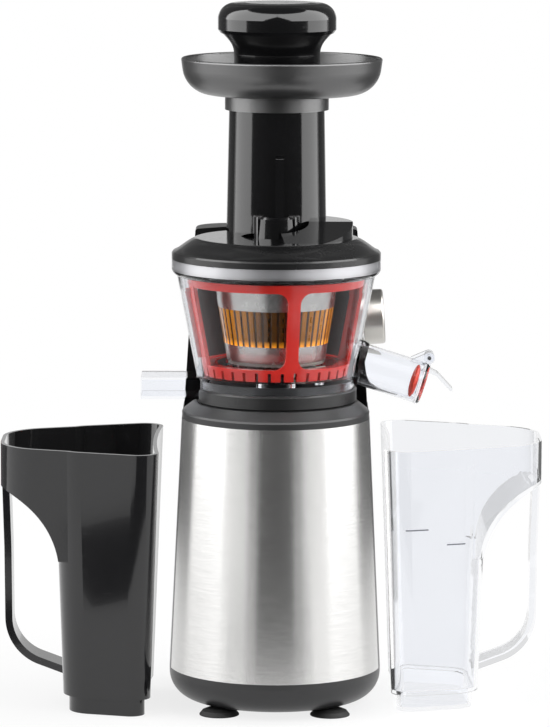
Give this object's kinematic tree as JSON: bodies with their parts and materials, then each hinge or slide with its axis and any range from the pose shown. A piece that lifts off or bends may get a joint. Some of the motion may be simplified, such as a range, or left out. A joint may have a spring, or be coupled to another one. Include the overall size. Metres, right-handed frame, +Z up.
{
  "type": "cold press juicer",
  "caption": "Upright slow juicer: steel motor base, clear bowl with turning brush cage, strainer and press screw, feed tube with dish and pusher, and pulp and juice jugs.",
  "frame": {"origin": "worktop under the middle of the footprint", "axes": "+Z up, front towards -Y, juice spout towards +X"},
  "size_m": [0.3336, 0.161, 0.4336],
  "materials": {
    "black_gloss": "glossy",
    "black_satin": "satin",
    "grey_satin": "satin",
    "steel": "fine horizontal brushing",
    "satin_metal": "satin",
    "machined_steel": "machined",
    "clear": "clear plastic",
    "red": "glossy",
    "amber": "translucent",
    "red_silicone": "matte",
    "dark_silicone": "matte",
    "grey_silicone": "matte",
    "rubber": "matte",
    "copper": "plain",
    "brass": "plain",
    "iron": "plain",
    "board": "satin",
    "nylon": "satin"
  },
  "bodies": {
    "base": {"base_pan": "grey_satin", "suction_feet": "rubber", "bottom_screws": "machined_steel", "steel_jacket": "steel", "rear_housing": "black_satin", "tower_housing": "black_satin", "tower_cap": "black_satin", "shoulder_cover": "grey_satin", "bowl_collar": "black_satin", "cord_gland": "rubber", "motor_can": "machined_steel", "motor_end_plate": "nylon", "motor_magnets": "iron", "motor_bearings": "brass", "motor_frame": "machined_steel", "gearbox_case": "nylon", "gearbox_lid": "nylon", "output_bearing": "machined_steel", "lay_pin": "machined_steel", "control_board": "board", "switch_body": "nylon"},
    "rotor": {"armature": "iron", "commutator": "copper", "motor_shaft": "machined_steel", "cooling_fan": "nylon"},
    "lay_shaft": {"lay_gear": "nylon"},
    "output": {"output_wheel": "nylon", "output_shaft": "machined_steel", "drive_coupling": "black_satin"},
    "dial": {"power_dial": "satin_metal", "dial_shaft": "machined_steel"},
    "bowl": {"juice_bowl": "clear", "bowl_seal": "grey_silicone", "idler_pin": "machined_steel", "cap_hinge_pin": "machined_steel", "strainer_frame": "amber", "strainer_mesh_upper": "machined_steel", "strainer_mesh_lower": "machined_steel"},
    "spout_cap": {"juice_cap": "clear", "cap_seal": "red_silicone"},
    "idler": {"idler_gear": "nylon"},
    "brush": {"brush_cage": "red", "wiper_blades": "dark_silicone"},
    "screw": {"auger": "black_satin", "auger_drive": "machined_steel"},
    "lid_unit": {"lid": "black_gloss", "auger_bush": "brass", "lid_seal": "grey_silicone"},
    "tray": {"feed_tray": "black_satin"},
    "pusher": {"pusher_stem": "black_gloss", "pusher_cap": "black_gloss"},
    "pulp_jug": {"pulp_container": "black_gloss"},
    "clear_jug": {"juice_jug": "clear"}
  },
  "joints": [
    {"name": "auger_spin", "type": "hinge", "parent": "bowl", "child": "screw", "pos_m": [0, -0.008, 0.23], "axis": [0, 0, 1], "continuous": true},
    {"name": "output_spin", "type": "hinge", "parent": "base", "child": "output", "pos_m": [0, -0.008, 0.15], "axis": [0, 0, 1], "continuous": true},
    {"name": "lay_spin", "type": "hinge", "parent": "base", "child": "lay_shaft", "pos_m": [0, 0.022, 0.118], "axis": [0, 0, 1], "continuous": true},
    {"name": "motor_spin", "type": "hinge", "parent": "base", "child": "rotor", "pos_m": [0, -0.008, 0.06], "axis": [0, 0, 1], "continuous": true},
    {"name": "idler_spin", "type": "hinge", "parent": "bowl", "child": "idler", "pos_m": [0.02191, -0.02638, 0.21], "axis": [0, 0, 1], "continuous": true},
    {"name": "brush_spin", "type": "hinge", "parent": "bowl", "child": "brush", "pos_m": [0, -0.008, 0.24], "axis": [0, 0, 1], "continuous": true},
    {"name": "dial_turn", "type": "hinge", "parent": "base", "child": "dial", "pos_m": [0.068, 0.056, 0.2343], "axis": [0.998, 0, 0.0628], "range_deg": [-45, 45]},
    {"name": "bowl_lift", "type": "slide", "parent": "base", "child": "bowl", "axis": [0, 0, 1], "range_m": [0, 0.12]},
    {"name": "lid_twist", "type": "hinge", "parent": "bowl", "child": "lid_unit", "pos_m": [0, -0.008, 0.28], "axis": [0, 0, 1], "range_deg": [0, 20]},
    {"name": "tray_lift", "type": "slide", "parent": "lid_unit", "child": "tray", "axis": [0, 0, 1], "range_m": [0, 0.06]},
    {"name": "pusher_lift", "type": "slide", "parent": "tray", "child": "pusher", "axis": [0, 0, 1], "range_m": [0, 0.13]},
    {"name": "cap_open", "type": "hinge", "parent": "bowl", "child": "spout_cap", "pos_m": [0.09441, -0.008, 0.21723], "axis": [0, -1, 0], "range_deg": [0, 95]},
    {"name": "pulp_jug_slide", "type": "slide", "parent": "base", "child": "pulp_jug", "axis": [-1, 0, 0], "range_m": [0, 0.12]},
    {"name": "clear_jug_slide", "type": "slide", "parent": "base", "child": "clear_jug", "axis": [1, 0, 0], "range_m": [0, 0.12]}
  ],
  "couplings": [
    {"joint": "output_spin", "follows": "auger_spin", "ratio": 1},
    {"joint": "lay_spin", "follows": "auger_spin", "ratio": -3.1667},
    {"joint": "motor_spin", "follows": "auger_spin", "ratio": 12.667},
    {"joint": "idler_spin", "follows": "auger_spin", "ratio": -1.6},
    {"joint": "brush_spin", "follows": "auger_spin", "ratio": -0.44444}
  ]
}
